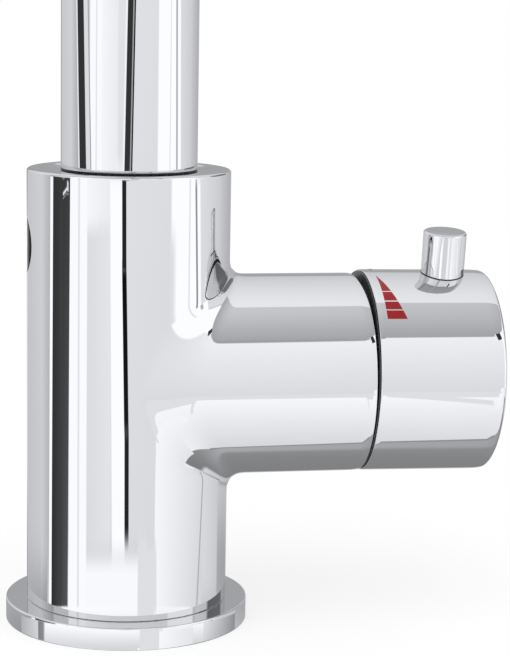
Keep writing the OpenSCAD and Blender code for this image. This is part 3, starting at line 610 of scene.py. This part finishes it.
def castSlope(place, step=0.01):
    return Vector([(castField(place + shift) - castField(place - shift)) / (2 * step)
                   for shift in (Vector((step, 0, 0)), Vector((0, step, 0)), Vector((0, 0, step)))])


def roundedRows(size, count=6):
    angles = [math.pi / 2 * i / count for i in range(count + 1)]
    return [(size * (1 - math.sin(a)), size * (1 - math.cos(a))) for a in angles]


def rollDrop(far):
    return cast["roll"] * (1 - far / cast["rollLength"]) ** 2


def tipLift(place):
    # the branch's end leans back from the knob near its top
    rise = place.z - cast["branchZ"]
    return cast["tipLift"] * (max(rise, 0) / (math.hypot(place.y, rise) + 1e-9)) ** cast["tipPower"]


def castPatch(bm, upper, branched):
    zEnd = cast["top"] if upper else cast["bottom"]
    size = cast["topRound"] if upper else cast["footRound"]
    sign = 1 if upper else -1
    tall = abs(zEnd - cast["branchZ"])
    rows = [("end", along, drop) for drop, along in roundedRows(size)]
    rows += [("crease", -far, 0) for far in cast["creaseRows"]]
    if branched:
        rows += [("crease", far, 0) for far in reversed(cast["creaseRows"][:-1])]
        rows += [("tip", far, rollDrop(far)) for far in cast["rollRows"]]
        tip = reversed(roundedRows(cast["tipRound"]))
        rows += [("tip", along, cast["roll"] + drop) for drop, along in tip]
    last = len(rows) - 1
    made = bmesh.ops.create_grid(bm, x_segments=cast["turns"], y_segments=last, size=0.5)["verts"]
    for vert in made:
        angle = (vert.co.x + 0.5) * math.pi
        kind, far, drop = rows[round((vert.co.y + 0.5) * last)]
        side = math.sin(angle)
        bend = cast["radius"] * side if branched else 0
        radius = cast["radius"] - drop
        if kind == "end":
            height, across = tall - far, None
        elif kind == "crease" and far <= 0:
            height, across = bend - far, None
        elif kind == "crease":
            height, across = None, bend + far
        else:
            height, across = None, cast["branchEnd"] - far
            if upper:
                across -= cast["tipLift"] * side ** cast["tipPower"] * (1 - far / cast["rollLength"])
        if across is None:
            outward = 1 if branched else -1
            vert.co = (outward * radius * side, -radius * math.cos(angle), cast["branchZ"] + sign * height)
        else:
            vert.co = (across, -radius * math.cos(angle), cast["branchZ"] + sign * radius * side)


def softNormal(place):
    # the crease is polished soft: its mirror turns evenly from the body's to the branch's
    upright = Vector((place.x, place.y, 0))
    branch = Vector((0, place.y, place.z - cast["branchZ"]))
    if place.x <= 0:
        return upright.normalized()
    width = cast["soften"] * fadeOf(place.x, cast["softFade"]) + 1e-9
    aside = min(1, max(0, (place.x - cast["sideFrom"]) / cast["sideSpan"]))
    width += (cast["sideSoften"] - cast["soften"]) * aside
    lead = min(1, max(-1, (branch.length - upright.length) / width))
    share = 0.5 + 0.25 * lead * (3 - lead * lead)
    return (upright.normalized() * share + branch.normalized() * (1 - share)).normalized()


def castNormal(place):
    lean = None
    outward = Vector((place.x, place.y, 0)).normalized()
    if place.z < cast["bottom"] + cast["footRound"]:
        lean, size = Vector((0, 0, -1)), cast["footRound"]
    elif place.z > cast["top"] - cast["topRound"]:
        lean, size = Vector((0, 0, 1)), cast["topRound"]
    elif place.x > cast["branchEnd"] - cast["rollLength"]:
        outward = Vector((0, place.y, place.z - cast["branchZ"])).normalized()
        lift = tipLift(place)
        far = max(0, cast["branchEnd"] - lift - place.x) / (1 - lift / cast["rollLength"])
        slope = 2 * cast["roll"] * (1 - far / cast["rollLength"]) / cast["rollLength"]
        sine = min(1, max(math.sin(math.atan(slope)), 1 - far / cast["tipRound"]))
        return outward * math.sqrt(1 - sine * sine) + Vector((sine, 0, 0))
    if lean is None:
        return softNormal(place)
    drop = cast["radius"] - math.hypot(place.x, place.y)
    cosine = max(0.0, min(1.0, 1 - drop / size))
    return outward * cosine + lean * math.sqrt(1 - cosine * cosine)


def insideOf(node, isSkin):
    bm = bmesh.new()
    bm.from_mesh(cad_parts[node].data)
    bmesh.ops.scale(bm, vec=(1 / mm, 1 / mm, 1 / mm), verts=bm.verts)
    bmesh.ops.remove_doubles(bm, verts=bm.verts, dist=1e-3)
    outer = [face for face in bm.faces if isSkin(face.calc_center_median(), face.normal)]
    bmesh.ops.delete(bm, geom=outer, context="FACES")
    bmesh.ops.remove_doubles(bm, verts=bm.verts, dist=tiny)
    return bm


def isCastSkin(place, normal):
    slope = castSlope(place)
    if castField(place) < skin["deepest"] or slope.length < skin["leastSlope"]:
        return False
    radial = math.hypot(place.x, place.y)
    across = math.hypot(place.y, place.z - cast["branchZ"])
    foot, top, tip = cast["footRound"], cast["topRound"], cast["branchRound"]
    inFoot = place.z < cast["bottom"] + foot and radial > cast["radius"] - foot - near
    inTop = place.z > cast["top"] - top and radial > cast["radius"] - top - near
    inTip = place.x > cast["branchEnd"] - tip and across > cast["radius"] - tip - skin["tipMargin"]
    flat = max(abs(normal.z), abs(normal.x)) > skin["flat"]
    if (inFoot or inTop or inTip) and not flat:
        return True
    return normal.dot(slope.normalized()) > skin["facing"]


def makeCastSkin():
    bm = bmesh.new()
    for upper in (False, True):
        for branched in (False, True):
            castPatch(bm, upper, branched)
    bmesh.ops.remove_doubles(bm, verts=bm.verts, dist=cast["weld"])
    for vert in bm.verts:
        place = vert.co
        inEnd = place.z < cast["bottom"] + cast["footRound"] or place.z > cast["top"] - cast["topRound"]
        if inEnd or place.x > cast["branchEnd"] - cast["rollLength"] - near:
            continue
        for _ in range(cast["settleSteps"]):
            slope = castSlope(place)
            place -= slope * (castField(place) / slope.length_squared)
        vert.co = place
    bmesh.ops.recalc_face_normals(bm, faces=bm.faces)
    probe = max(bm.faces, key=lambda face: -face.calc_center_median().y)
    if probe.normal.y > 0:
        bmesh.ops.reverse_faces(bm, faces=bm.faces)
    piece = addObject("castSkin", meshOf(bm, "castSkin"))
    cutAway(piece, makeHoleCutter(), "FAST")
    normals = [castNormal(vert.co) for vert in piece.data.vertices]
    piece.data.shade_smooth()
    piece.data.normals_split_custom_set_from_vertices(normals)
    piece.data.transform(Matrix.Scale(mm, 4))
    finishCast(piece)
    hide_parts("body")


def makeHoleCutter():
    bm, radius = bmesh.new(), cast["windowHole"]
    bmesh.ops.create_cone(bm, cap_ends=True, segments=96, radius1=radius, radius2=radius,
                          depth=cast["cutterDepth"])
    bmesh.ops.rotate(bm, verts=bm.verts, matrix=Matrix.Rotation(math.pi / 2, 3, "Y"))
    bmesh.ops.translate(bm, verts=bm.verts, vec=(-cast["radius"] - cast["cutterOut"], 0, cast["windowZ"]))
    bmesh.ops.rotate(bm, verts=bm.verts, matrix=Matrix.Rotation(math.radians(-cast["windowTurn"]), 3, "Z"))
    return addObject("holeCutter", meshOf(bm, "holeCutter"))


def makeCastInside():
    bm = insideOf("body", isCastSkin)
    # the window's bore is turned with the glass
    half = cast["windowHole"] + cast["boreMargin"]
    left = [vert for vert in bm.verts if vert.co.x < cast["boreFrom"]]
    bore = [vert for vert in left if abs(vert.co.z - cast["windowZ"]) < half]
    turn = Matrix.Rotation(math.radians(cast["boreTurn"] - cast["windowTurn"]), 3, "Z")
    bmesh.ops.rotate(bm, verts=bore, matrix=turn)
    for vert in bm.verts:
        # the top face reaches a little under the rounded rim, so that no slit shows between them
        if vert.co.z > cast["top"] - near and math.hypot(vert.co.x, vert.co.y) > cast["rimFrom"]:
            vert.co.xy *= cast["rimGrow"]
        across = math.hypot(vert.co.y, vert.co.z - cast["branchZ"])
        if vert.co.x > cast["branchEnd"] - cast["tipReach"] and across > cast["tipFrom"]:
            vert.co.x -= tipLift(vert.co)
    bmesh.ops.scale(bm, vec=(mm, mm, mm), verts=bm.verts)
    mesh = meshOf(bm, "castInside")
    mesh.shade_smooth()
    mesh.set_sharp_from_angle(angle=math.radians(skin["corner"]))
    finishCast(addObject("castInside", mesh))


def finishCast(piece):
    piece.data.materials.clear()
    piece.data.materials.append(materials["polished_chrome"])
    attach(piece, "stand")


makeCastSkin()
makeCastInside()
print("body and branch cast")

window = {"radius": 6.4, "face": 23.93, "back": 22.2, "edge": 0.12, "insets": (0.15, 0.9, 0.9, 0.9, 0.9, 0.9)}


def makeWindow():
    # the glass follows the body's round outline
    bm, radius, half = bmesh.new(), window["radius"], 1
    bmesh.ops.create_cone(bm, cap_ends=True, segments=96, radius1=radius, radius2=radius, depth=2 * half)
    front = [face for face in bm.faces if face.calc_center_median().z > half - near]
    for share in window["insets"]:
        bmesh.ops.inset_region(bm, faces=front, thickness=share, use_even_offset=True)

    def onRim(vert):
        return vert.co.z > half - near and math.hypot(vert.co.x, vert.co.y) > radius - near

    rim = [edge for edge in bm.edges if all(onRim(vert) for vert in edge.verts)]
    for vert in bm.verts:
        bow = math.sqrt(window["face"] ** 2 - vert.co.y ** 2)
        vert.co.z = bow if vert.co.z > 0 else window["back"]
    bmesh.ops.bevel(bm, geom=rim, offset=window["edge"], segments=3, profile=0.5, affect="EDGES", material=-1)
    turn = Matrix.Rotation(math.radians(-cast["windowTurn"]), 4, "Z")
    turn = turn @ Matrix.Translation((0, 0, cast["windowZ"])) @ Matrix.Rotation(-math.pi / 2, 4, "Y")
    closedPiece(bm, "sensorGlass", "stand", "window_black", ["sensor_window"], weighted=False, place=turn)


makeWindow()

base = {"inner": 17.0, "outer": 29.0, "height": 5.35, "topEdge": 0.35, "footEdge": 0.25, "grooveIn": 19.0,
        "grooveOut": 26.4, "grooveDepth": 1.6}


def makeBase():
    bm = lathe([(base["inner"], 0), (base["grooveIn"], 0), (base["grooveIn"], base["grooveDepth"]),
                (base["grooveOut"], base["grooveDepth"]), (base["grooveOut"], 0), (base["outer"], 0),
                (base["outer"], base["height"]), (base["inner"], base["height"])])
    roundRing(bm, base["outer"], base["height"], base["topEdge"], 4)
    roundRing(bm, base["outer"], 0, base["footEdge"], 3)
    closedPiece(bm, "basePlate", "stand", "polished_chrome", ["base_plate"])


makeBase()

# Mixer pieces are shaped upright, then laid along the branch with a slight droop
mixer = {"start": (55.65, 0.0, 59.6), "droop": 0.65, "lean": 187.0}
mixerFrame = Matrix.Translation(mixer["start"]) @ Matrix.Rotation(math.radians(90 + mixer["droop"]), 4, "Y")
pinFrame = mixerFrame @ Matrix.Rotation(math.radians(mixer["lean"]), 4, "Z")
knob = {"radius": 24.4, "gap": 0.7, "length": 30.55, "edge": 0.9, "lip": 0.2, "roll": 0.24, "rollLength": 3.4,
        "rollRows": (1.2, 1.7, 2.3, 2.9, 3.4), "backRows": ((1.4, 0), (0.9, 0.02)), "backDrop": 0.06,
        "skirt": 21.7, "skirtDepth": 8.7, "stem": 5.05, "stemEnd": 25.45}


def makeKnob():
    radius, gap, depth, stem = knob["radius"], knob["gap"], knob["skirtDepth"], knob["stem"]
    end = gap + knob["length"]
    # both rims of the turned cap fall away a little before their edges
    roll, length = knob["roll"], knob["rollLength"]
    fall = [(radius - roll * (1 - far / length) ** 2, end - far) for far in knob["rollRows"]]
    rise = [(radius - drop, gap + far) for far, drop in knob["backRows"]]
    rims = radius - roll, radius - knob["backDrop"]
    bm = lathe([(0, end), (rims[0], end), *fall, *rise, (rims[1], gap), (knob["skirt"], gap),
                (knob["skirt"], depth), (stem, depth), (stem, knob["stemEnd"]), (0, knob["stemEnd"])],
               closed=False)
    roundRing(bm, rims[0], end, knob["edge"], 8)
    roundRing(bm, rims[1], gap, knob["lip"], 4)
    closedPiece(bm, "knobCap", "mixer_knob", "polished_chrome", ["knob"], place=mixerFrame)


pin = {"radius": 5.2, "foot": 22.0, "top": 34.7, "edge": 0.5, "along": 20.05}
pinStand = pinFrame @ Matrix.Translation((0, 0, pin["along"])) @ Matrix.Rotation(math.pi / 2, 4, "Y")


def makePin():
    radius, foot, top = pin["radius"], pin["foot"], pin["top"]
    bm = lathe([(0, foot), (radius, foot), (radius, top), (0, top)], 72, False)
    roundRing(bm, radius, top, pin["edge"], 5)
    closedPiece(bm, "leverPin", "mixer_knob", "polished_chrome", ["lever_pin"], place=pinStand)


# Size of the thin black ring at the pin's foot, painted shade for the contact line between pin and knob
pinShadeRing = {"radius": 5.22, "height": 0.24, "thick": 0.08, "sink": 0.04}


def makePinShadeRing():
    # painted shade: a thin black ring follows the knob's round surface at the pin's foot, standing for the
    # dark contact line there rather than a real seal
    bm = bmesh.new()
    bmesh.ops.create_circle(bm, segments=96, radius=pinShadeRing["radius"], cap_ends=False)
    made = bmesh.ops.extrude_edge_only(bm, edges=bm.edges)["geom"]
    bmesh.ops.translate(bm, verts=onlyOf(made, bmesh.types.BMVert), vec=(0, 0, pinShadeRing["height"]))
    for vert in bm.verts:
        vert.co.z += math.sqrt(knob["radius"] ** 2 - vert.co.y ** 2) - pinShadeRing["sink"]
    bmesh.ops.recalc_face_normals(bm, faces=bm.faces)
    bmesh.ops.solidify(bm, geom=bm.faces, thickness=pinShadeRing["thick"])
    closedPiece(bm, "pinShadeRing", "mixer_knob", "black_rubber", weighted=False, place=pinStand)


mark = {"first": 6.5, "span": 37.3, "width": 4.8, "least": 0.04, "inset": 2.25, "gap": 0.9,
        "cuts": (0, 0.46, 0.67, 0.84, 1), "proud": 0.03, "depth": 0.3}


def makeMark(name, slot, side, node):
    bm = bmesh.new()
    low = knob["gap"] + mark["inset"]
    radius = knob["radius"] + mark["proud"]
    for i, (a, b) in enumerate(zip(mark["cuts"], mark["cuts"][1:])):
        start = mark["first"] + a * mark["span"] + (mark["gap"] / 2 if i else 0)
        end = mark["first"] + b * mark["span"] - (mark["gap"] / 2 if b < 1 else 0)
        bar = bmesh.ops.create_grid(bm, x_segments=10, y_segments=2, size=0.5)["verts"]
        for vert in bar:
            along = start + (vert.co.x + 0.5) * (end - start)
            width = mark["width"] * max(mark["least"], (along - mark["first"]) / mark["span"])
            angle = math.radians(side * along)
            vert.co = (radius * math.cos(angle), radius * math.sin(angle), low + (vert.co.y + 0.5) * width)
    bmesh.ops.recalc_face_normals(bm, faces=bm.faces)
    for face in bm.faces:
        middle = face.calc_center_median()
        if face.normal.dot(Vector((middle.x, middle.y, 0))) < 0:
            face.normal_flip()
    bmesh.ops.solidify(bm, geom=bm.faces, thickness=mark["depth"])
    closedPiece(bm, name, "mixer_knob", slot, [node], weighted=False, place=pinFrame)


makeKnob()
makePin()
# the black ring at the pin's foot is painted shade
makePinShadeRing()
makeMark("hotMark", "hot_red", 1, "hot_mark")
makeMark("coldMark", "cold_blue", -1, "cold_mark")
print("mixer made")

spout = {"radius": 16.05, "wall": 1.45, "low": 108.65, "archZ": 310.95, "archR": 98.0, "dropZ": 274.95,
         "edge": 0.04}
dropY = -2 * spout["archR"]


def makeSpout():
    bm = bmesh.new()
    outer, inner = spout["radius"], spout["radius"] - spout["wall"]
    rings = []
    for radius in (outer, inner):
        ring = bmesh.ops.create_circle(bm, segments=128, radius=radius, cap_ends=False)["verts"]
        bmesh.ops.translate(bm, verts=ring, vec=(0, 0, spout["low"]))
        rings += [edge for edge in bm.edges if all(vert in ring for vert in edge.verts)]
    wall = bmesh.ops.bridge_loops(bm, edges=rings)["faces"]
    sides = sweep(bm, wall, spout["archZ"] - spout["low"])
    centre = (0, -spout["archR"], spout["archZ"])
    turned = bmesh.ops.spin(bm, geom=sides, cent=centre, axis=(1, 0, 0), angle=math.pi, steps=96)["geom_last"]
    sweep(bm, onlyOf(turned, bmesh.types.BMFace), spout["dropZ"] - spout["archZ"])
    for radius in (outer, inner):
        roundRing(bm, radius, spout["low"], spout["edge"], 3)
        roundRing(bm, radius, spout["dropZ"], spout["edge"], 3, dropY)
    closedPiece(bm, "spoutTube", "spout", "polished_chrome", ["spout_tube"])


def sweep(bm, faces, rise):
    made = bmesh.ops.extrude_face_region(bm, geom=faces)["geom"]
    bmesh.ops.translate(bm, verts=onlyOf(made, bmesh.types.BMVert), vec=(0, 0, rise))
    return onlyOf(made, bmesh.types.BMFace)


makeSpout()
print("spout bent")

head = {"top": 271.95, "bottom": 186.95, "start": 16.05, "end": 17.8, "flareFrom": 0.08, "flareSpan": 0.78,
        "rows": 28, "topRound": 0.3, "footRound": 1.2, "inner": 14.4, "face": 15.95, "faceTop": 191.65,
        "windowZ": 236.95, "windowHalf": 5.95, "windowHeight": 16.75, "windowNear": 10.4, "windowFar": 24}


def headRadius(share):
    eased = min(1, max(0, (share - head["flareFrom"]) / head["flareSpan"]))
    return head["start"] + (head["end"] - head["start"]) * (1 - math.cos(math.pi * eased)) / 2


def makeSpray():
    rows, length = head["rows"], head["top"] - head["bottom"]
    outline = [(headRadius(i / rows), head["top"] - length * i / rows) for i in range(rows + 1)]
    bm = lathe(outline + [(head["face"], head["bottom"]), (head["face"], head["faceTop"]),
                          (head["inner"], head["faceTop"]), (head["inner"], head["top"])])
    roundRing(bm, head["end"], head["bottom"], head["footRound"], 6)
    roundRing(bm, head["start"], head["top"], head["topRound"], 3)
    piece = closedPiece(bm, "sprayShell", None, "polished_chrome", corner=40, weighted=False,
                        place=Matrix.Translation((0, dropY, 0)))
    cutAway(piece, makeSlotCutter(), "EXACT")
    piece.data.set_sharp_from_angle(angle=math.radians(35))
    leadFlatFaces(piece, 50)
    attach(piece, "spray")
    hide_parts("spray_shell")


def makeSlotCutter():
    bm = bmesh.new()
    made = bmesh.ops.create_circle(bm, segments=64, radius=head["windowHalf"], cap_ends=True)["verts"]
    straight = head["windowHeight"] - head["windowHalf"]
    for vert in made:
        vert.co.y += straight if vert.co.y > 1e-5 else -straight if vert.co.y < -1e-5 else 0
    sweep(bm, list(bm.faces), head["windowFar"] - head["windowNear"])
    place = Matrix.Translation((0, dropY - head["windowNear"], head["windowZ"]))
    bmesh.ops.transform(bm, matrix=place @ Matrix.Rotation(math.pi / 2, 4, "X"), verts=bm.verts)
    bmesh.ops.recalc_face_normals(bm, faces=bm.faces)
    bmesh.ops.scale(bm, vec=(mm, mm, mm), verts=bm.verts)
    return addObject("slotCutter", meshOf(bm, "slotCutter"))


makeSpray()
print("spray head made")

reach = {"low": 303.05, "high": 310.95, "radius": 5.5, "inner": 3.7, "rings": 240}


def makeReach():
    bm = lathe([(reach["radius"], reach["low"]), (reach["radius"], reach["high"]),
                (reach["inner"], reach["high"]), (reach["inner"], reach["low"])], 32)
    rising = [edge for edge in bm.edges if abs(edge.verts[0].co.z - edge.verts[1].co.z) > 1]
    bmesh.ops.subdivide_edges(bm, edges=rising, cuts=reach["rings"], use_grid_fill=True)
    piece = closedPiece(bm, "hoseReach", None, "woven_hose", ["hose_reach"], weighted=False,
                        place=Matrix.Translation((0, dropY, 0)))
    piece.data.materials.clear()
    piece.data.materials.append(makeBraided("reachBraid", dropY))
    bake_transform(piece)


makeReach()
